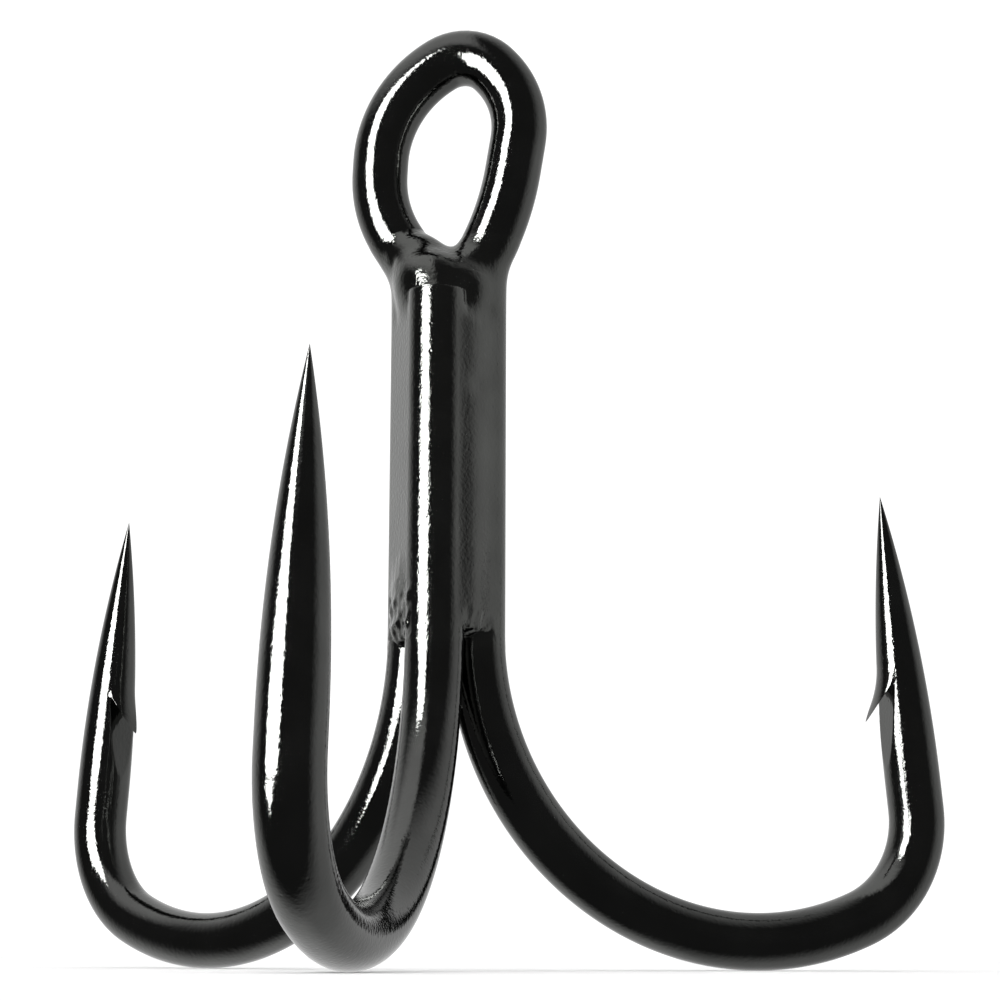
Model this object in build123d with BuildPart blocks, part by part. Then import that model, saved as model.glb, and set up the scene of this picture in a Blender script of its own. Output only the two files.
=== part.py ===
"""Treble hook: a double hook bent from one wire with an eye, a single hook in its groove, and braze.

Z runs up the shank to the eye. The origin is the middle of the eye's opening. The single hook
points towards -Y, and the two arms of the double hook stand 120 degrees either side of it.
"""
import os
from math import cos, radians, sin, sqrt

from build123d import *

# Wire and shank (millimetres and degrees)
wire_diameter = 3.5
wire_gap = 0.2
arm_azimuths = {"single": -90.0, "right": 30.0, "left": 150.0}
bend_start = -28.6
single_top = -8.0

# Bend, spear and needle point
sweep_radius = 18.2
sweep_angle = 113.0
corner_radius = 6.8
corner_angle = 72.5
spear_length = 20.2
point_length = 18.5

# Barb: its height is measured up the spear from the back of the point
barb_height = 4.0
barb_length = 3.7
barb_rise = 1.1
barb_width = 1.5
barb_root_radius = 1.3
barb_cut_depth = 0.65
barb_cut_length = 3.0
barb_undercut = 2.2

# Eye: corners of its centreline, and the radius that rounds each, seen along +Y
eye_start = -8.3
eye_corners = [(-4.65, -1.6), (-4.3, 5.7), (1.3, 9.0), (4.8, 5.1), (3.6, -2.1)]
eye_radii = [7.6, 7.5, 2.8, 5.6, 17.5]
left_flare_height = -5.95
left_flare_radius = 4.7
right_flare_height = -5.6
right_flare_radius = 5.8

# Braze
groove_depth = 1.35
rim_fraction = 0.96
right_fillet_bottom = -28.4
back_fillet_bottom = -28.6
bead_top = -26.8
bead_bottom = -29.4
bead_depth = 1.9
core_bottom = -27.8
web_top = -4.6
web_inset = 0.12
web_crown_radius = 0.9
web_crown_half_width = 1.1
saddle_radius = 0.9
saddle_height = -4.0

wire_radius = wire_diameter / 2
wire_spacing = wire_diameter + wire_gap
shank_offset = wire_spacing / sqrt(3)
eye_plane_y = shank_offset * sin(radians(arm_azimuths["right"]))

os.makedirs("parts", exist_ok=True)


def outward(azimuth):
    """Unit vector from the shank's axis towards an arm."""
    return Vector(cos(radians(azimuth)), sin(radians(azimuth)), 0)


shank_centres = {name: outward(azimuth) * shank_offset for name, azimuth in arm_azimuths.items()}


def build_arm(azimuth, shank_top):
    """One hook of round wire: shank, bend, spear, needle point and cut barb."""
    arm_plane = Plane(origin=(0, 0, 0), x_dir=outward(azimuth), z_dir=outward(azimuth - 90))
    with BuildPart() as arm:
        # Wire as far as the back of the point
        with BuildLine(arm_plane):
            shank = Line((shank_offset, shank_top), (shank_offset, bend_start))
            sweep_bend = JernArc(shank @ 1, shank % 1, sweep_radius, sweep_angle)
            corner_bend = JernArc(sweep_bend @ 1, sweep_bend % 1, corner_radius, corner_angle)
            spear_up = corner_bend % 1
            spear = Line(corner_bend @ 1, (corner_bend @ 1) + spear_up * (spear_length - point_length))
        with BuildSketch(Plane(origin=shank @ 0, z_dir=shank % 0)):
            Circle(wire_radius)
        sweep()

        # Needle point with a parabolic side: local x is inward from the spear's axis, local y runs up it
        inward = arm_plane.z_dir.cross(spear_up)
        spear_plane = Plane(origin=spear @ 1, x_dir=inward, z_dir=-arm_plane.z_dir)
        with BuildSketch(spear_plane):
            with BuildLine():
                Polyline((0, point_length), (0, 0), (wire_radius, 0))
                Bezier((wire_radius, 0), (wire_radius, point_length / 2), (0, point_length))
            make_face()
        revolve(axis=Axis(spear @ 1, spear_up))

        # Chisel cut behind the barb, then the sliver that it lifts, in a plane level with the barb's tip
        barb_plane = Plane(
            origin=(spear @ 1) + spear_up * barb_height,
            x_dir=inward,
            z_dir=-arm_plane.z_dir,
        )
        cut_floor = wire_radius - barb_cut_depth
        barb_tip = wire_radius + barb_rise
        with BuildSketch(barb_plane):
            Polygon(
                (cut_floor, barb_undercut),
                (barb_tip, barb_undercut / 2),
                (barb_tip, -barb_cut_length),
                (wire_radius, -barb_cut_length),
                align=None,
            )
        extrude(amount=wire_radius, both=True, mode=Mode.SUBTRACT)
        with BuildSketch(barb_plane):
            Polygon(
                (cut_floor / 2, barb_length),
                (cut_floor / 2, barb_undercut),
                (cut_floor, barb_undercut),
                (barb_tip, 0),
                (barb_root_radius, barb_length),
                align=None,
            )
        extrude(amount=barb_width / 2, both=True)
    return arm.part


right_arm = build_arm(arm_azimuths["right"], eye_start)
left_arm = build_arm(arm_azimuths["left"], eye_start)

# Double hook: two arms and the eye, all one wire
with BuildPart() as double_hook:
    with BuildLine(Plane(origin=(0, eye_plane_y, 0), x_dir=(1, 0, 0), z_dir=(0, -1, 0))):
        eye_loop = FilletPolyline(
            (-wire_spacing / 2, eye_start),
            (-wire_spacing / 2, left_flare_height),
            *eye_corners,
            (wire_spacing / 2, right_flare_height),
            (wire_spacing / 2, eye_start),
            radius=[left_flare_radius, *eye_radii, right_flare_radius],
        )
    with BuildSketch(Plane(origin=eye_loop @ 0, z_dir=eye_loop % 0)):
        Circle(wire_radius)
    sweep()
    add(right_arm)
    add(left_arm)
double_hook.part.label = "double_hook"

# Single hook: its cut end stops under the crotch of the eye
with BuildPart() as single_hook:
    add(build_arm(arm_azimuths["single"], single_top))
single_hook.part.label = "single_hook"

# Braze between the three shanks
with BuildPart() as braze_core:
    with BuildSketch(Plane.XY.offset(core_bottom)):
        with BuildLine():
            Polyline(*shank_centres.values(), close=True)
        make_face()
        with Locations(*shank_centres.values()):
            Circle(wire_radius, mode=Mode.SUBTRACT)
    extrude(amount=single_top - core_bottom)
braze_core.part.label = "braze_core"


def build_fillet(first, second, bottom, top, depth):
    """Run of braze in the groove between two neighbouring shanks, its face at a depth from their middle."""
    start = shank_centres[first]
    end = shank_centres[second]
    middle = (start + end) / 2
    out = middle.normalized()
    rim_start = start + out * wire_radius * rim_fraction
    rim_end = end + out * wire_radius * rim_fraction
    with BuildPart() as fillet_run:
        with BuildSketch(Plane.XY.offset(bottom)):
            with BuildLine():
                Polyline(rim_end, end, start, rim_start)
                ThreePointArc(rim_start, middle + out * depth, rim_end)
            make_face()
            with Locations(start, end):
                Circle(wire_radius, mode=Mode.SUBTRACT)
        extrude(amount=top - bottom)
    return fillet_run.part


# Left run, with the bead where the braze ran down and set proud of the groove
with BuildPart() as braze_fillet_left:
    add(build_fillet("left", "single", bead_top, single_top, groove_depth))
    add(build_fillet("left", "single", bead_bottom, bead_top, bead_depth))
braze_fillet_left.part.label = "braze_fillet_left"

with BuildPart() as braze_fillet_right:
    add(build_fillet("single", "right", right_fillet_bottom, single_top, groove_depth))
braze_fillet_right.part.label = "braze_fillet_right"

with BuildPart() as braze_fillet_back:
    add(build_fillet("right", "left", back_fillet_bottom, single_top, groove_depth))
braze_fillet_back.part.label = "braze_fillet_back"

# Web that closes the crotch of the eye and slopes down over the single hook's cut end
with BuildPart() as eye_web:
    with BuildSketch(Plane.XY.offset(single_top)):
        with Locations(*shank_centres.values()):
            Circle(wire_radius - web_inset)
        make_hull()
    with BuildSketch(Plane.XY.offset(web_top)):
        with Locations(
            (0, eye_plane_y - web_crown_radius / 2),
            (web_crown_half_width, eye_plane_y),
            (-web_crown_half_width, eye_plane_y),
        ):
            Circle(web_crown_radius)
        make_hull()
    loft()
    with BuildSketch(Plane(origin=(0, eye_plane_y, 0), z_dir=(0, -1, 0))):
        with Locations((0, saddle_height)):
            Circle(saddle_radius)
    extrude(amount=wire_diameter, both=True, mode=Mode.SUBTRACT)
    add(double_hook.part, mode=Mode.SUBTRACT)
eye_web.part.label = "eye_web"

pieces = [
    double_hook,
    single_hook,
    braze_core,
    braze_fillet_left,
    braze_fillet_right,
    braze_fillet_back,
    eye_web,
]
for piece in pieces:
    export_step(piece.part, f"parts/{piece.part.label}.step")
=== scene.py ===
"""Treble hook: plated wires with needle points and cut barbs, and the braze that joins them."""

import math

import bmesh
import bpy
import numpy as np
from mathutils import Matrix, Vector


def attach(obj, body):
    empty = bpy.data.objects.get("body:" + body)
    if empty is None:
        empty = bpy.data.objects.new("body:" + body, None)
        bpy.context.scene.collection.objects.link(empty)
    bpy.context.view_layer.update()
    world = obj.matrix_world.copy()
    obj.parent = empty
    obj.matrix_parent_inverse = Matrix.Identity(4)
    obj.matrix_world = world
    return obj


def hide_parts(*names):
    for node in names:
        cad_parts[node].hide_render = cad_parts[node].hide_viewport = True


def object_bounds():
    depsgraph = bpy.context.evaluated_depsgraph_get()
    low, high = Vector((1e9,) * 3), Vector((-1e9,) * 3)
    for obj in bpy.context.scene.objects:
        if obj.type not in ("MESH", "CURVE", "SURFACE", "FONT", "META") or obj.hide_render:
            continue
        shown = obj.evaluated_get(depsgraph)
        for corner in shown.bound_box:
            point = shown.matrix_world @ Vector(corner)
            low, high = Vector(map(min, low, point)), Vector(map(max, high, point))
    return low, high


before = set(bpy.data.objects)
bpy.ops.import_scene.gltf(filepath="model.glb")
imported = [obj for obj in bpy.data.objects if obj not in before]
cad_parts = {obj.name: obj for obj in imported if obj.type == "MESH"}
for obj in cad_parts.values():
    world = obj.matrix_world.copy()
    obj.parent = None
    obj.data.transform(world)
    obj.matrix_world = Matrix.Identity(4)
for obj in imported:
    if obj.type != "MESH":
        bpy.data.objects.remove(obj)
cad_box = [list(corner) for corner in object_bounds()]

MM = 0.001

# Wire and shank (millimetres and degrees, the same driving dimensions as the CAD part)
WIRE_RADIUS = 1.75
WIRE_SPACING = 3.7
SHANK_OFFSET = WIRE_SPACING / math.sqrt(3)
AZIMUTHS = {"single": -90.0, "right": 30.0, "left": 150.0}
BEND_START = -28.6
SINGLE_TOP = -8.0

# Bend, spear and needle point
SWEEP_RADIUS = 18.2
SWEEP_ANGLE = 113.0
CORNER_RADIUS = 6.8
CORNER_ANGLE = 72.5
SPEAR_LENGTH = 20.2
POINT_LENGTH = 18.5

# Barb: heights run up the spear from the level of its tip, depths run inward from the spear's axis
BARB_LEVEL = SPEAR_LENGTH - POINT_LENGTH + 4.0
BARB_LENGTH = 3.7
BARB_ROOT_HEIGHT = 2.2
BARB_ROOT_DEPTH = 1.1
BARB_TIP_DEPTH = 2.85
BARB_SIDE_STEP = 0.3
BARB_CUT_LENGTH = 3.0
BARB_TONGUE_WIDTH = 0.8
BARB_TONGUE_POWER = 1.5
BARB_BEND_RISE = 0.9
BARB_BEND_DROP = 1.3
BARB_BEND_SWELL = 0.02
FACING_LIMIT = 0.1

# Eye: corners of its centreline, and the radius that rounds each, seen along +Y
EYE_PLANE_Y = SHANK_OFFSET * 0.5
EYE_START = -8.3
EYE_POINTS = [
    (-WIRE_SPACING / 2, EYE_START),
    (-WIRE_SPACING / 2, -5.95),
    (-4.65, -1.6),
    (-4.3, 5.7),
    (1.3, 9.0),
    (4.8, 5.1),
    (3.6, -2.1),
    (WIRE_SPACING / 2, -5.6),
    (WIRE_SPACING / 2, EYE_START),
]
EYE_RADII = [4.7, 7.6, 7.5, 2.8, 5.6, 17.5, 5.8]

# Meshing: steps between rows, with rows crowding together towards the needle's tip
RING_POINTS = 96
CROWDING = 0.45
ROW_STEP = 0.35
SPEAR_STEP = 0.22
SPEAR_GAP = 0.1
BARB_STEP = 0.09
UNDERCUT_ROWS = 12
SPEAR_FOOT_ROWS = 11
TIP_ROWS = 12
TIP_FIRST_ROW = 0.012
TIP_ROW_GROWTH = 1.32
SHARP_ANGLE = 50.0
MERGE_DISTANCE = 0.001


# ---------------------------------------------------------------- centrelines

def arc_points(centre, radius, start, end, step):
    """Points on an arc in a plane, both ends included."""
    count = max(2, int(math.ceil(abs(math.radians(end - start)) * radius / step)) + 1)
    angle = np.radians(np.linspace(start, end, count))
    return np.stack([centre[0] + radius * np.cos(angle), centre[1] + radius * np.sin(angle)], 1)


def fillet_line(corners, radii, step):
    """A polyline with each inner corner rounded, as evenly spaced points."""
    corners = [np.array(p, float) for p in corners]
    points = [corners[0]]
    for before, corner, after, radius in zip(corners, corners[1:], corners[2:], radii):
        back = (before - corner) / np.linalg.norm(before - corner)
        ahead = (after - corner) / np.linalg.norm(after - corner)
        opening = math.acos(float(np.clip(back @ ahead, -1, 1)))
        middle = (back + ahead) / np.linalg.norm(back + ahead)
        centre = corner + middle * radius / math.sin(opening / 2)
        start = corner + back * radius / math.tan(opening / 2) - centre
        turn = math.pi - opening
        side = np.sign(start[0] * (-middle[1]) - start[1] * (-middle[0]))
        for t in np.linspace(0, turn, max(3, int(turn * radius / step) + 2)):
            c, s = math.cos(t * side), math.sin(t * side)
            turned_x = start[0] * c - start[1] * s
            turned_z = start[0] * s + start[1] * c
            points.append(centre + np.array([turned_x, turned_z]))
    points.append(corners[-1])
    points = np.array(points)
    length = np.concatenate([[0], np.cumsum(np.linalg.norm(np.diff(points, axis=0), axis=1))])
    even = np.linspace(0, length[-1], int(length[-1] / step) + 1)
    return np.stack([np.interp(even, length, points[:, i]) for i in range(2)], 1)


def unit(vectors):
    return vectors / np.linalg.norm(vectors, axis=-1, keepdims=True)


# ---------------------------------------------------------------- wire grids
# A grid is rows of rings. Each ring's angle starts at the inside of the bend.

def ring_angles(crowding):
    """Angles round the wire, crowded towards the inside of the bend where the barb is cut."""
    even = np.linspace(0, 2 * math.pi, RING_POINTS, endpoint=False)
    return even - crowding * np.sin(even)


def needle_radius(height):
    """Wire radius at a height up the spear: full as far as the point, then a parabola."""
    along = np.clip((height - (SPEAR_LENGTH - POINT_LENGTH)) / POINT_LENGTH, 0, 1)
    return WIRE_RADIUS * (1 - along**2)


def barb_rows():
    """Rows round the barb in the spear's frame: (inward, sideways, height above the barb's tip)."""
    angle = ring_angles(CROWDING)
    cos, sin = np.cos(angle), np.sin(angle)
    facing = np.maximum(cos, FACING_LIMIT)
    wrapped = np.abs((angle + math.pi) % (2 * math.pi) - math.pi)

    def on_wire(height):
        radius = needle_radius(BARB_LEVEL + height)
        return np.stack([radius * cos, radius * sin, np.full(RING_POINTS, height)], 1)

    root_radius = needle_radius(BARB_LEVEL + BARB_ROOT_HEIGHT)
    half_cut = math.acos(BARB_ROOT_DEPTH / root_radius)
    inside = wrapped < half_cut
    across = np.where(inside, np.tan(np.clip(wrapped, 0, half_cut)) / math.tan(half_cut), 1.0)
    reach = (1 - across**BARB_TONGUE_POWER)[:, None]

    root = on_wire(BARB_ROOT_HEIGHT)
    flat = BARB_ROOT_DEPTH / facing
    root[inside, 0] = (flat * cos)[inside]
    root[inside, 1] = (flat * sin)[inside]
    to_tip = np.array([BARB_TIP_DEPTH - BARB_ROOT_DEPTH, 0.0, -BARB_ROOT_HEIGHT])
    plain = on_wire(BARB_ROOT_HEIGHT + BARB_SIDE_STEP)
    lifted = root * np.array([1, BARB_TONGUE_WIDTH, 1]) + to_tip
    edge = lifted * reach + np.where(inside[:, None], root * (1 - reach), plain)
    raised = edge + (1 - reach) * np.array([0, 0, BARB_SIDE_STEP])
    edge = np.where(inside[:, None], raised, plain)

    top = on_wire(BARB_LENGTH)
    bend_level = BARB_ROOT_HEIGHT + BARB_BEND_RISE
    bend_height = bend_level - BARB_BEND_DROP * reach
    bend_outline = on_wire(bend_level)[:, :2] * (1 + BARB_BEND_SWELL * reach)
    bend = np.concatenate([bend_outline, bend_height], 1)

    rows = []
    for t in np.linspace(0, 1, int(BARB_LENGTH / BARB_STEP))[1:]:
        rows.append(top * (1 - t) ** 2 + bend * 2 * t * (1 - t) + edge * t**2)
    for t in np.linspace(0, 1, UNDERCUT_ROWS)[1:]:
        rows.append(edge * (1 - t) + root * t)
    for height in np.arange(BARB_ROOT_HEIGHT - BARB_STEP, -BARB_CUT_LENGTH, -BARB_STEP):
        radius = needle_radius(BARB_LEVEL + height)
        down = (BARB_ROOT_HEIGHT - height) / (BARB_ROOT_HEIGHT + BARB_CUT_LENGTH)
        depth = BARB_ROOT_DEPTH + (WIRE_RADIUS - BARB_ROOT_DEPTH) * down
        cut = np.where(cos > FACING_LIMIT, np.minimum(radius, depth / facing), radius)
        rows.append(np.stack([cut * cos, cut * sin, np.full(RING_POINTS, height)], 1))
    return rows


def arm_grid(top):
    """One arm, from its tip round to the top of its shank, as rings of (outward, sideways, z)."""
    first = np.array([SHANK_OFFSET + SWEEP_RADIUS, BEND_START])
    turn = math.radians(180 + SWEEP_ANGLE)
    second = first + (SWEEP_RADIUS - CORNER_RADIUS) * np.array([math.cos(turn), math.sin(turn)])
    lean = math.radians(SWEEP_ANGLE + CORNER_ANGLE - 90)
    up = np.array([math.cos(lean), math.sin(lean)])
    inward = np.array([-up[1], up[0]])
    base = second + CORNER_RADIUS * np.array([up[1], -up[0]])

    rows = []

    def add(centre, inside, ring):
        """A ring of (inward, sideways) offsets about a point of the centreline."""
        flat = centre + ring[:, :1] * inside
        rows.append(np.stack([flat[:, 0], ring[:, 1], flat[:, 1]], 1))

    def circle(radius, crowding):
        angle = ring_angles(crowding)
        return radius * np.stack([np.cos(angle), np.sin(angle)], 1)

    tip_heights = SPEAR_LENGTH - TIP_FIRST_ROW * TIP_ROW_GROWTH ** np.arange(0, TIP_ROWS)
    barb_top = BARB_LEVEL + BARB_LENGTH
    spear_rows = int((SPEAR_LENGTH - barb_top) / SPEAR_STEP)
    spear_heights = np.linspace(tip_heights[-1] - SPEAR_GAP, barb_top, spear_rows)
    for height in np.concatenate([tip_heights, spear_heights]):
        add(base + up * height, inward, circle(needle_radius(height), CROWDING))
    for row in barb_rows():
        centres = base + up * (BARB_LEVEL + row[:, 2:3])
        flat = centres + row[:, :1] * inward
        rows.append(np.stack([flat[:, 0], row[:, 1], flat[:, 1]], 1))
    for height in np.linspace(BARB_LEVEL - BARB_CUT_LENGTH, 0, SPEAR_FOOT_ROWS)[:-1]:
        add(base + up * height, inward, circle(needle_radius(height), CROWDING))
    low_turn = 180 + SWEEP_ANGLE
    corner = arc_points(second, CORNER_RADIUS, low_turn + CORNER_ANGLE, low_turn, ROW_STEP)
    for point in corner:
        add(point, (second - point) / CORNER_RADIUS, circle(WIRE_RADIUS, CROWDING))
    sweep = arc_points(first, SWEEP_RADIUS, low_turn, 180, ROW_STEP)
    crowding = np.linspace(CROWDING, 0, len(sweep))
    for point, share in zip(sweep[1:], crowding[1:]):
        add(point, (first - point) / SWEEP_RADIUS, circle(WIRE_RADIUS, share))
    for z in np.linspace(BEND_START, top, int((top - BEND_START) / ROW_STEP))[1:]:
        add(np.array([SHANK_OFFSET, z]), np.array([1.0, 0.0]), circle(WIRE_RADIUS, 0))
    tip = base + up * SPEAR_LENGTH
    return np.array(rows), np.array([tip[0], 0.0, tip[1]])


def turned(points, azimuth):
    """Points of an arm's own (outward, sideways, z) frame, turned to its azimuth."""
    a = math.radians(azimuth)
    x = points[..., 0] * math.cos(a) - points[..., 1] * math.sin(a)
    y = points[..., 0] * math.sin(a) + points[..., 1] * math.cos(a)
    return np.stack([x, y, points[..., 2]], -1)


def eye_grid():
    """The eye from the left shank's top over to the right shank's top."""
    line = fillet_line(EYE_POINTS, EYE_RADII, ROW_STEP)
    along = unit(np.gradient(line, axis=0))
    along[0] = (0, 1)
    along[-1] = (0, -1)
    across = np.stack([-along[:, 1], along[:, 0]], 1)
    angle = ring_angles(0)
    centre = np.stack([line[:, 0], np.full(len(line), EYE_PLANE_Y), line[:, 1]], 1)
    side = np.stack([across[:, 0], np.zeros(len(line)), across[:, 1]], 1)
    depth = np.array([0.0, 1.0, 0.0])
    spokes = np.cos(angle)[None, :, None] * side[:, None] + np.sin(angle)[None, :, None] * depth
    return centre[:, None] + WIRE_RADIUS * spokes


# ---------------------------------------------------------------- meshes

def add_grid(bm, rows, tip=None, cap=False):
    """Quads between rings, closed to a tip before the first ring and by a cap after the last."""
    rings = [[bm.verts.new(Vector(p) * MM) for p in ring] for ring in rows]
    count = len(rings[0])
    for low, high in zip(rings, rings[1:]):
        for i in range(count):
            j = (i + 1) % count
            bm.faces.new((low[i], low[j], high[j], high[i]))
    if tip is not None:
        point = bm.verts.new(Vector(tip) * MM)
        for i in range(count):
            bm.faces.new((point, rings[0][(i + 1) % count], rings[0][i]))
    if cap:
        bm.faces.new(rings[-1])


def finish_mesh(name, bm):
    """A smooth object from a bmesh, with its cut edges kept sharp."""
    bmesh.ops.remove_doubles(bm, verts=bm.verts, dist=MERGE_DISTANCE * MM)
    bmesh.ops.recalc_face_normals(bm, faces=bm.faces)
    mesh = bpy.data.meshes.new(name)
    bm.to_mesh(mesh)
    bm.free()
    mesh.shade_smooth()
    mesh.set_sharp_from_angle(angle=math.radians(SHARP_ANGLE))
    piece = bpy.data.objects.new(name, mesh)
    bpy.context.scene.collection.objects.link(piece)
    return piece


def double_hook_wire():
    """Two arms and the eye, bent from one wire."""
    bm = bmesh.new()
    rows, tip = arm_grid(EYE_START)
    for side in ("right", "left"):
        add_grid(bm, turned(rows, AZIMUTHS[side]), turned(tip, AZIMUTHS[side]))
    add_grid(bm, eye_grid())
    return finish_mesh("double_hook_wire", bm)


def single_hook_wire():
    """The third arm, cut off square under the crotch of the eye."""
    bm = bmesh.new()
    rows, tip = arm_grid(SINGLE_TOP)
    add_grid(bm, turned(rows, AZIMUTHS["single"]), turned(tip, AZIMUTHS["single"]), cap=True)
    return finish_mesh("single_hook_wire", bm)


# ---------------------------------------------------------------- braze
# The braze is the zero surface of a distance field, in millimetres, negative inside the metal.

# Where the field is meshed, the cell size, and how the points are evened out and slid back on
BRAZE_LOW = (-5.6, -5.2, -31.2)
BRAZE_HIGH = (5.6, 4.4, -2.2)
NET_STEP = 0.12
EVENING_ROUNDS = 3
SLIDES = 2
PROBE = 0.01
LEAST_STEEPNESS = 0.05

# Only the lower part of the eye comes near the braze; points are measured a block at a time
EYE_FEET_TOP = 1.0
EYE_FEET_STEP = 0.05
BLOCK = 20000
EYE_LINE = fillet_line(EYE_POINTS, EYE_RADII, EYE_FEET_STEP)
EYE_FEET = EYE_LINE[EYE_LINE[:, 1] < EYE_FEET_TOP]

# The shank's field gives way to the web's between these heights
WEB_START = -10.0
WEB_FULL = -8.4
WEB_SOFTNESS = 0.25

# How proud the melt stands of bare wire, how far it sinks in past its ends, and its wrinkles
FILM = 0.015
SINK = 0.10
WRINKLE_HEIGHT = 0.14
GROOVE_FLOOR = -1.2

# Heights over which the melt runs out at its top and at its foot, and the bead's place at the split
MELT_TOP = (-4.5, -2.5)
MELT_FOOT = (-29.3, -30.6)
BEAD_TOP = (-25.4, -27.2)
BEAD_FOOT = (-29.5, -29.0)
BEAD_RIGHT = (-1.0, -1.5)
BEAD_BACK = (0.3, -0.2)


def ramp(value, start, end):
    """0 at start, 1 at end, smooth between and level beyond; end may lie below start."""
    t = np.clip((value - start) / (end - start), 0, 1)
    return t * t * (3 - 2 * t)


def smooth_union(fields, width):
    """Soft minimum of several fields."""
    fields = np.stack(fields)
    low = fields.min(0)
    return low - width * np.log(np.exp(-(fields - low) / width).sum(0))


def wire_field(p, azimuth):
    """Distance to one arm's wire: its straight shank, and its bend below that."""
    a = math.radians(azimuth)
    out = p[:, 0] * math.cos(a) + p[:, 1] * math.sin(a)
    side = p[:, 1] * math.cos(a) - p[:, 0] * math.sin(a)
    bend = SWEEP_RADIUS - np.hypot(out - SHANK_OFFSET - SWEEP_RADIUS, p[:, 2] - BEND_START)
    across = np.where(p[:, 2] > BEND_START, out - SHANK_OFFSET, bend)
    return np.hypot(across, side) - WIRE_RADIUS


def eye_field(p):
    """Distance to the eye's wire."""
    flat = np.empty(len(p))
    for start in range(0, len(p), BLOCK):
        part = p[start:start + BLOCK]
        dx = part[:, 0:1] - EYE_FEET[None, :, 0]
        dz = part[:, 2:3] - EYE_FEET[None, :, 1]
        flat[start:start + BLOCK] = np.sqrt((dx * dx + dz * dz).min(1))
    return np.hypot(flat, p[:, 1] - EYE_PLANE_Y) - WIRE_RADIUS


def rod_field(p, start, end, radius):
    """Distance to a round-ended rod."""
    start, end = np.array(start), np.array(end)
    along = end - start
    t = np.clip((p - start) @ along / (along @ along), 0, 1)
    return np.linalg.norm(p - start - t[:, None] * along, axis=1) - radius


# Faces of the grooves, by azimuth: how far each leans towards the wire clockwise of it, seen from
# above, and how far it stands out from flush with both wires at each height, ending where this drops
GROOVES = {
    -30.0: (
        0.9,
        [(-29.0, -1.9), (-28.6, -0.1), (-27.5, 0.15), (-24.0, 0.2), (-10.0, 0.14), (-8.0, 0.0)],
    ),
    210.0: (
        0.0,
        [
            (-29.6, -1.9),
            (-29.2, -0.2),
            (-28.2, 0.22),
            (-26.6, 0.05),
            (-25.6, 0.12),
            (-24.0, 0.0),
            (-8.0, 0.0),
        ],
    ),
    90.0: (0.0, [(-29.2, -1.9), (-28.8, -0.3), (-24.0, -0.1), (-8.0, 0.0)]),
}

# Rods that melt together into the web between the eye's legs: start, end and radius
WEB_RODS = [
    ((-0.9, 0.95, -6.3), (0.9, 0.95, -6.3), 1.5),
    ((0.0, 1.07, -9.6), (0.0, 1.07, -6.6), 1.7),
    ((-0.93, -0.53, -9.6), (-1.15, -0.35, -7.0), 1.72),
    ((-1.15, -0.35, -7.0), (-1.9, 0.5, -5.2), 1.72),
    ((-0.46, -1.3, -9.6), (-0.75, -0.55, -6.9), 1.72),
    ((-0.75, -0.55, -6.9), (-1.2, 0.5, -5.8), 1.6),
    ((0.93, -0.53, -9.6), (1.1, -0.4, -7.6), 1.72),
    ((1.1, -0.4, -7.6), (1.5, 0.5, -6.2), 1.65),
    ((0.0, -1.75, -9.4), (-0.2, -0.8, -7.2), 1.55),
    ((-0.2, -0.8, -7.2), (-0.4, 0.5, -6.2), 1.5),
]

# Directions of the wrinkles in the bead at the split, coarse to fine, in radians per millimetre
WRINKLE_COUNT = 9
WRINKLE_PITCH = np.geomspace(2.0, 9.0, WRINKLE_COUNT)[:, None]
WRINKLES = np.random.default_rng(5).normal(0.0, 1.0, (WRINKLE_COUNT, 3)) * WRINKLE_PITCH

# Lumps (positive) and pits (negative) in the braze: place, spread and height
SPOTS = [
    ((-2.9, -1.9, -28.6), 0.35, 0.16),
    ((-3.2, -1.3, -29.2), 0.30, 0.14),
    ((-2.4, -2.6, -27.6), 0.30, 0.12),
    ((-3.1, -1.4, -27.9), 0.28, -0.12),
    ((-2.6, -2.2, -28.2), 0.22, -0.14),
    ((-1.7, -3.4, -26.6), 0.30, 0.10),
    ((-1.3, -3.7, -28.2), 0.25, -0.08),
    ((2.4, -1.6, -13.8), 0.55, -0.10),
    ((3.0, -0.9, -28.2), 0.35, -0.10),
    ((-3.3, -0.4, -4.9), 0.25, 0.10),
    ((-3.0, -0.7, -5.6), 0.25, -0.08),
]


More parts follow.
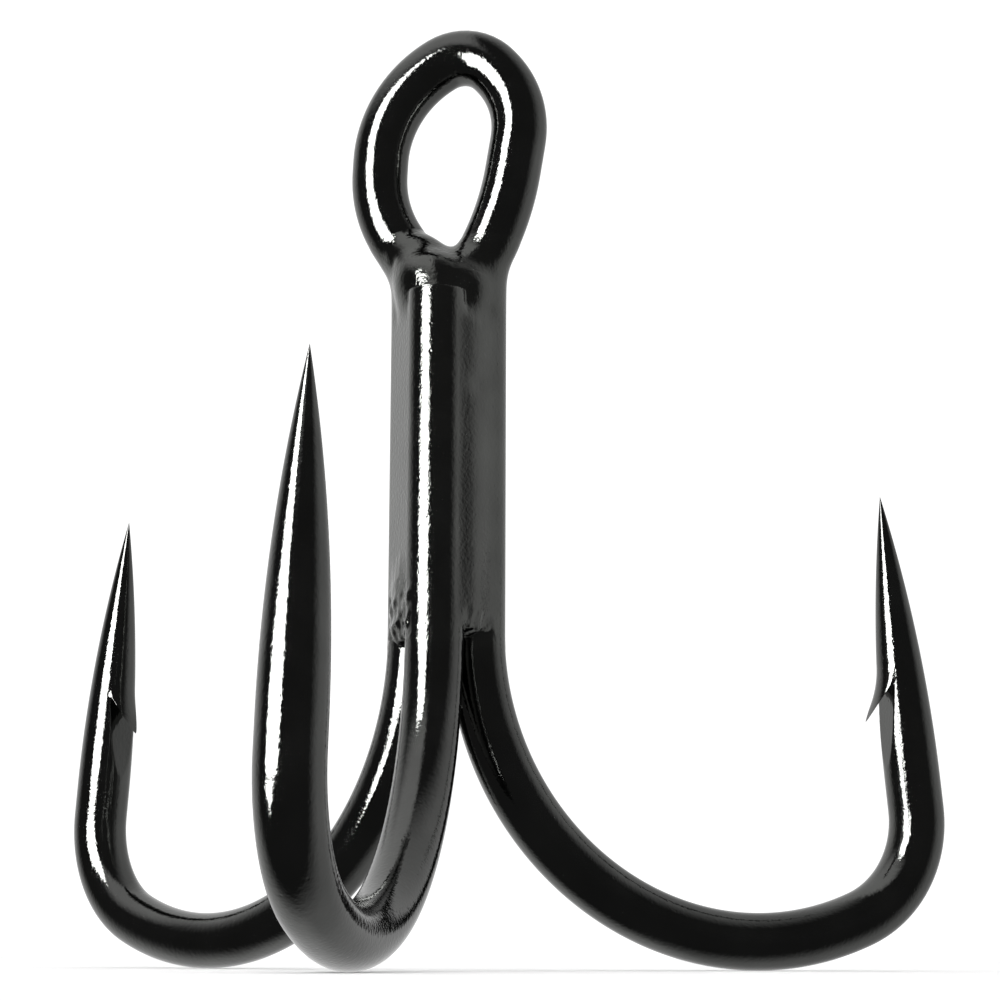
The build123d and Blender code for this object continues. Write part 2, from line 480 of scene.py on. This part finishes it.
def braze_field(p):
    """Wires, grooves and web as one form, a hair proud of the wires where the braze coats them."""
    x, y, z = p.T
    single, right, left = (wire_field(p, azimuth) for azimuth in AZIMUTHS.values())
    shank = np.minimum.reduce([single, right, left])
    half = WIRE_SPACING / 2
    for azimuth, (skew, levels) in GROOVES.items():
        out = np.array([math.cos(math.radians(azimuth)), math.sin(math.radians(azimuth))])
        depth = x * out[0] + y * out[1] - SHANK_OFFSET / 2
        side = -x * out[1] + y * out[0]
        slow_edge = 0.12 * np.sin(3.1 * side + azimuth)
        fine_edge = 0.08 * np.sin(8.3 * side)
        proud = np.interp(z + slow_edge + fine_edge, *np.array(levels).T)
        crown = np.cos(np.clip(side / half, -1, 1) * math.pi / 2) ** 2
        swell = crown * (1 - skew * side / half)
        face = depth - WIRE_RADIUS - proud * swell
        in_groove = (np.abs(side) < half) & (depth > GROOVE_FLOOR)
        shank = np.where(in_groove, np.minimum(shank, face), shank)

    upper = z > WEB_START
    if upper.any():
        q = p[upper]
        below_eye = np.minimum(right[upper], left[upper])
        legs = np.where(q[:, 2] < EYE_START, below_eye, eye_field(q))
        cut_end = np.maximum(single[upper], q[:, 2] - SINGLE_TOP)
        rods = [rod_field(q, *rod) for rod in WEB_RODS]
        crotch = smooth_union([legs] + rods, WEB_SOFTNESS)
        crotch = np.minimum(crotch, cut_end)
        share = ramp(q[:, 2], WEB_START, WEB_FULL)
        shank[upper] = shank[upper] * (1 - share) + crotch * share

    at_split = ramp(z, *BEAD_TOP) * ramp(z, *BEAD_FOOT)
    wrinkled = at_split * ramp(x, *BEAD_RIGHT) * ramp(y, *BEAD_BACK)
    waves = sum(np.sin(p @ k + phase) / np.linalg.norm(k) for phase, k in enumerate(WRINKLES))
    shank = shank - WRINKLE_HEIGHT * wrinkled * waves
    film = FILM - SINK * ramp(z, *MELT_TOP) - SINK * ramp(z, *MELT_FOOT)
    field = shank - film
    for place, spread, height in SPOTS:
        away = ((p - np.array(place)) ** 2).sum(1)
        field -= height * np.exp(-away / (2 * spread**2))
    return field


def surface_net(field, low, high, step):
    """Quads over the zero surface of a field, with each point slid onto the surface."""
    axes = [np.arange(a, b + step, step) for a, b in zip(low, high)]
    shape = tuple(len(a) for a in axes)
    grid = np.stack(np.meshgrid(*axes, indexing="ij"), -1).reshape(-1, 3)
    value = field(grid).reshape(shape)
    # The outermost cells count as outside, so the surface always closes
    value[0], value[-1] = 1, 1
    value[:, 0], value[:, -1] = 1, 1
    value[:, :, 0], value[:, :, -1] = 1, 1
    cells = tuple(n - 1 for n in shape)
    total = np.zeros(cells + (3,))
    hits = np.zeros(cells)
    crossing = []
    for axis in range(3):
        a = [slice(None)] * 3
        b = [slice(None)] * 3
        a[axis] = slice(0, -1)
        b[axis] = slice(1, None)
        va, vb = value[tuple(a)], value[tuple(b)]
        cross = (va < 0) != (vb < 0)
        crossing.append((cross, va < 0))
        t = np.where(cross, va / np.where(cross, va - vb, 1), 0)
        others = [i for i in range(3) if i != axis]
        for da in (0, 1):
            for db in (0, 1):
                part = [slice(None)] * 3
                part[others[0]] = slice(da, da + cells[others[0]])
                part[others[1]] = slice(db, db + cells[others[1]])
                c = cross[tuple(part)]
                total[..., axis] += np.where(c, t[tuple(part)], 0)
                total[..., others[0]] += np.where(c, da, 0)
                total[..., others[1]] += np.where(c, db, 0)
                hits += c
    used = hits > 0
    number = np.full(cells, -1)
    number[used] = np.arange(used.sum())
    corner = np.stack(np.nonzero(used), 1)
    points = (corner + total[used] / hits[used][:, None]) * step + np.array(low)
    quads = []
    for axis in range(3):
        cross, inside = crossing[axis]
        where = np.stack(np.nonzero(cross), 1)
        flip = inside[cross]
        one, two = [i for i in range(3) if i != axis]
        ring = []
        for da, db in ((-1, -1), (0, -1), (0, 0), (-1, 0)):
            cell = where.copy()
            cell[:, one] += da
            cell[:, two] += db
            ring.append(number[tuple(cell.T)])
        ring = np.stack(ring, 1)
        if axis == 1:
            flip = ~flip
        ring[~flip] = ring[~flip][:, ::-1]
        quads.append(ring)
    quads = np.concatenate(quads)

    neighbours = np.concatenate([quads[:, [i, (i + 1) % 4]] for i in range(4)])
    neighbours = np.concatenate([neighbours, neighbours[:, ::-1]])
    for _ in range(EVENING_ROUNDS):
        mean = np.zeros_like(points)
        count = np.zeros(len(points))
        np.add.at(mean, neighbours[:, 0], points[neighbours[:, 1]])
        np.add.at(count, neighbours[:, 0], 1)
        points = 0.5 * points + 0.5 * mean / count[:, None]
        for _ in range(SLIDES):
            here = field(points)
            slope = np.stack([(field(points + e) - here) / PROBE for e in np.eye(3) * PROBE], 1)
            steepness = np.maximum((slope**2).sum(1), LEAST_STEEPNESS)
            points -= np.clip(here / steepness, -step, step)[:, None] * slope
    return points, quads


def braze_joint():
    """The braze: faces in the three grooves, the bead at the split and the web under the eye."""
    points, quads = surface_net(braze_field, BRAZE_LOW, BRAZE_HIGH, NET_STEP)
    mesh = bpy.data.meshes.new("braze_joint")
    mesh.from_pydata((points * MM).tolist(), [], quads.tolist())
    mesh.validate()
    mesh.shade_smooth()
    piece = bpy.data.objects.new("braze_joint", mesh)
    bpy.context.scene.collection.objects.link(piece)
    bm = bmesh.new()
    bm.from_mesh(mesh)
    bmesh.ops.recalc_face_normals(bm, faces=bm.faces)
    bm.to_mesh(mesh)
    bm.free()
    return piece


# ---------------------------------------------------------------- materials

# Plating: noise and cell scales count per metre
CLOUD_SCALE = 260.0
CLOUD_SHADES = (0.86, 1.12)
SMEAR_SCALE = 520.0
SMEAR_DISTORTION = 0.6
RIPPLE_SCALE = 4200.0
PIT_SCALE = 1500.0
PIT_WIDTH = 0.16


def new_material(name):
    """A material with its node tree and shader."""
    material = bpy.data.materials.new(name)
    material.use_nodes = True
    tree = material.node_tree
    shader = tree.nodes["Principled BSDF"]
    return material, tree, shader


def mapped_noise(tree, scale, detail, distortion=0.0):
    """Noise in the object's own coordinates."""
    place = tree.nodes.new("ShaderNodeTexCoord")
    texture = tree.nodes.new("ShaderNodeTexNoise")
    texture.inputs["Scale"].default_value = scale
    texture.inputs["Detail"].default_value = detail
    texture.inputs["Distortion"].default_value = distortion
    tree.links.new(place.outputs["Object"], texture.inputs["Vector"])
    return texture.outputs["Fac"]


def spread_to(tree, source, low, high, from_low=0.3, from_high=0.7):
    """A value mapped from one range to another; the default range suits noise."""
    node = tree.nodes.new("ShaderNodeMapRange")
    node.inputs["From Min"].default_value = from_low
    node.inputs["From Max"].default_value = from_high
    node.inputs["To Min"].default_value = low
    node.inputs["To Max"].default_value = high
    tree.links.new(source, node.inputs["Value"])
    return node.outputs["Result"]


def plated_metal(name, tint, roughness, ripple, pit):
    """Black nickel plating: a dark mirror, with clouds in its colour and gloss, ripple and pits."""
    material, tree, shader = new_material(name)
    shader.inputs["Metallic"].default_value = 1.0
    cloud = mapped_noise(tree, CLOUD_SCALE, detail=4.0)
    colour = tree.nodes.new("ShaderNodeMix")
    colour.data_type = "RGBA"
    for socket, shade in zip(("A", "B"), CLOUD_SHADES):
        colour.inputs[socket].default_value = (*[c * shade for c in tint], 1)
    tree.links.new(spread_to(tree, cloud, 0, 1), colour.inputs["Factor"])
    tree.links.new(colour.outputs["Result"], shader.inputs["Base Color"])
    smear = mapped_noise(tree, SMEAR_SCALE, detail=3.0, distortion=SMEAR_DISTORTION)
    tree.links.new(spread_to(tree, smear, *roughness), shader.inputs["Roughness"])

    wave = tree.nodes.new("ShaderNodeBump")
    wave.inputs["Strength"].default_value = 1.0
    wave.inputs["Distance"].default_value = ripple * MM
    tree.links.new(mapped_noise(tree, RIPPLE_SCALE, detail=2.0), wave.inputs["Height"])

    place = tree.nodes.new("ShaderNodeTexCoord")
    cells = tree.nodes.new("ShaderNodeTexVoronoi")
    cells.inputs["Scale"].default_value = PIT_SCALE
    tree.links.new(place.outputs["Object"], cells.inputs["Vector"])
    hole = spread_to(tree, cells.outputs["Distance"], 0, 1, 0.0, PIT_WIDTH)
    pits = tree.nodes.new("ShaderNodeBump")
    pits.inputs["Strength"].default_value = 1.0
    pits.inputs["Distance"].default_value = pit * MM
    tree.links.new(hole, pits.inputs["Height"])
    tree.links.new(wave.outputs["Normal"], pits.inputs["Normal"])
    tree.links.new(pits.outputs["Normal"], shader.inputs["Normal"])
    return material


# ---------------------------------------------------------------- stage

# Brightness of the surroundings as they show in reflections, and the light on everything else
BEHIND_LEFT = 0.78
BEHIND_RIGHT = 0.52
OVERHEAD = 0.8
LEAST_REFLECTED = 0.05
DAYLIGHT = 1.15

FLOOR_HALF_SIZE = 1.2
FLOOR_SHADE = 0.92
FLOOR_ROUGHNESS = 0.9

# Soft box: place of its middle, and its glowing panels as outlines of (to the right, height)
SOFT_BOX_PLACE = (-75, -120)
SOFT_BOX_STRENGTH = 14.0
SOFT_BOX_PANELS = [
    [
        (-36, 95),
        (-36, 26),
        (-54, 4),
        (-52, -30),
        (-34, -46),
        (28, -46),
        (40, -30),
        (44, 10),
        (36, 45),
        (34, 95),
    ],
    [(-52, -50), (18, -50), (-25, -88)],
]

# Camera: place in millimetres with its height above the floor, angles in degrees, lens
CAMERA_PLACE = (31.3, -137.1)
CAMERA_HEIGHT = 0.8
CAMERA_AZIMUTH = 11.46
CAMERA_ELEVATION = -10.97
CAMERA_ROLL = 0.2
CAMERA_LENS = 84.8
CAMERA_SENSOR = 36.0
CAMERA_CLIP = (0.005, 10.0)


def world_light():
    """Reflections see a bright backdrop and a dark room; everything else is lit plain white."""
    world = bpy.data.worlds.new("studio")
    bpy.context.scene.world = world
    world.use_nodes = True
    tree = world.node_tree
    tree.nodes.clear()
    place = tree.nodes.new("ShaderNodeTexCoord")
    split = tree.nodes.new("ShaderNodeSeparateXYZ")
    tree.links.new(place.outputs["Generated"], split.inputs["Vector"])

    def smooth(source, start, end, low, high):
        node = tree.nodes.new("ShaderNodeMapRange")
        node.interpolation_type = "SMOOTHSTEP"
        node.inputs["From Min"].default_value = start
        node.inputs["From Max"].default_value = end
        node.inputs["To Min"].default_value = low
        node.inputs["To Max"].default_value = high
        tree.links.new(source, node.inputs["Value"])
        return node.outputs["Result"]

    def combine(operation, a, b):
        node = tree.nodes.new("ShaderNodeMath")
        node.operation = operation
        for value, socket in ((a, node.inputs[0]), (b, node.inputs[1])):
            if isinstance(value, (int, float)):
                socket.default_value = value
            else:
                tree.links.new(value, socket)
        return node.outputs["Value"]

    behind_left = smooth(split.outputs["Y"], -0.2, 0.5, 0.0, BEHIND_LEFT)
    behind_right = smooth(split.outputs["Y"], -0.4, 0.4, 0.0, BEHIND_RIGHT)
    side = smooth(split.outputs["X"], -0.25, 0.25, 0.0, 1.0)
    overhead = combine(
        "MULTIPLY",
        smooth(split.outputs["Z"], 0.45, 0.85, 0.0, OVERHEAD),
        smooth(split.outputs["X"], -0.12, 0.12, 1.0, 0.0),
    )
    left_part = combine("MULTIPLY", behind_left, combine("SUBTRACT", 1.0, side))
    backdrop = combine("ADD", left_part, combine("MULTIPLY", behind_right, side))
    reflected = combine("MAXIMUM", combine("MAXIMUM", backdrop, overhead), LEAST_REFLECTED)

    rays = tree.nodes.new("ShaderNodeLightPath")
    mirror = tree.nodes.new("ShaderNodeBackground")
    plain = tree.nodes.new("ShaderNodeBackground")
    plain.inputs["Strength"].default_value = DAYLIGHT
    for background in (mirror, plain):
        background.inputs["Color"].default_value = (1, 1, 1, 1)
    tree.links.new(reflected, mirror.inputs["Strength"])
    choose = tree.nodes.new("ShaderNodeMixShader")
    out = tree.nodes.new("ShaderNodeOutputWorld")
    tree.links.new(rays.outputs["Is Glossy Ray"], choose.inputs["Fac"])
    tree.links.new(plain.outputs["Background"], choose.inputs[1])
    tree.links.new(mirror.outputs["Background"], choose.inputs[2])
    tree.links.new(choose.outputs["Shader"], out.inputs["Surface"])


def stage_floor(level):
    """Plain pale floor under the bends."""
    bm = bmesh.new()
    bmesh.ops.create_grid(bm, x_segments=8, y_segments=8, size=FLOOR_HALF_SIZE)
    mesh = bpy.data.meshes.new("floor")
    bm.to_mesh(mesh)
    bm.free()
    floor = bpy.data.objects.new("floor", mesh)
    floor.location = (0, 0, level)
    bpy.context.scene.collection.objects.link(floor)
    material, _, shader = new_material("floor_paper")
    shader.inputs["Base Color"].default_value = (FLOOR_SHADE, FLOOR_SHADE, FLOOR_SHADE, 1)
    shader.inputs["Roughness"].default_value = FLOOR_ROUGHNESS
    floor.data.materials.append(material)
    floor.visible_glossy = False


def soft_box():
    """Glowing panels, upright and facing the shank."""
    centre = Vector((*SOFT_BOX_PLACE, 0))
    away = centre.normalized()
    right = Vector((-away.y, away.x, 0))
    bm = bmesh.new()
    for outline in SOFT_BOX_PANELS:
        corners = [centre + right * side + Vector((0, 0, height)) for side, height in outline]
        bm.faces.new([bm.verts.new(corner * MM) for corner in corners])
    mesh = bpy.data.meshes.new("soft_box")
    bm.to_mesh(mesh)
    bm.free()
    box = bpy.data.objects.new("soft_box", mesh)
    bpy.context.scene.collection.objects.link(box)
    material, tree, shader = new_material("soft_box_glow")
    tree.nodes.remove(shader)
    glow = tree.nodes.new("ShaderNodeEmission")
    glow.inputs["Strength"].default_value = SOFT_BOX_STRENGTH
    tree.links.new(glow.outputs["Emission"], tree.nodes["Material Output"].inputs["Surface"])
    material.cycles.emission_sampling = "NONE"
    mesh.materials.append(material)
    box.visible_camera = False
    box.visible_diffuse = False
    box.visible_shadow = False


def camera(level):
    """The camera, low over a floor at the given level and looking slightly up."""
    data = bpy.data.cameras.new("camera")
    data.lens = CAMERA_LENS
    data.sensor_width = CAMERA_SENSOR
    data.clip_start, data.clip_end = CAMERA_CLIP
    cam = bpy.data.objects.new("camera", data)
    bpy.context.scene.collection.objects.link(cam)
    a, e = math.radians(CAMERA_AZIMUTH), math.radians(CAMERA_ELEVATION)
    back = Vector((math.sin(a) * math.cos(e), -math.cos(a) * math.cos(e), math.sin(e)))
    roll = Matrix.Rotation(math.radians(CAMERA_ROLL), 4, "Z").to_quaternion()
    turn = (-back).to_track_quat("-Z", "Y") @ roll
    place = Vector((*CAMERA_PLACE, level / MM + CAMERA_HEIGHT))
    cam.matrix_world = Matrix.LocRotScale(place * MM, turn, None)
    bpy.context.scene.camera = cam


# ---------------------------------------------------------------- build

# Tint, roughness from low to high, and the depths of ripple and pits in millimetres
wire_metal = plated_metal(
    "black_nickel_wire",
    tint=(0.118, 0.120, 0.116),
    roughness=(0.05, 0.10),
    ripple=0.012,
    pit=0.006,
)
braze_metal = plated_metal(
    "black_nickel_braze",
    tint=(0.128, 0.131, 0.125),
    roughness=(0.06, 0.12),
    ripple=0.022,
    pit=0.010,
)
braze_nodes = [
    "braze_core",
    "braze_fillet_left",
    "braze_fillet_right",
    "braze_fillet_back",
    "eye_web",
]
for piece, metal, slot_name, nodes in (
    (double_hook_wire(), wire_metal, "plated_wire", ["double_hook"]),
    (single_hook_wire(), wire_metal, "plated_wire", ["single_hook"]),
    (braze_joint(), braze_metal, "plated_braze", braze_nodes),
):
    piece.data.materials.append(metal)
    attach(piece, "root")
    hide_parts(*nodes)

floor_level = cad_box[0][2]
stage_floor(floor_level)
world_light()
soft_box()
camera(floor_level)
bpy.context.scene.view_settings.view_transform = "Standard"
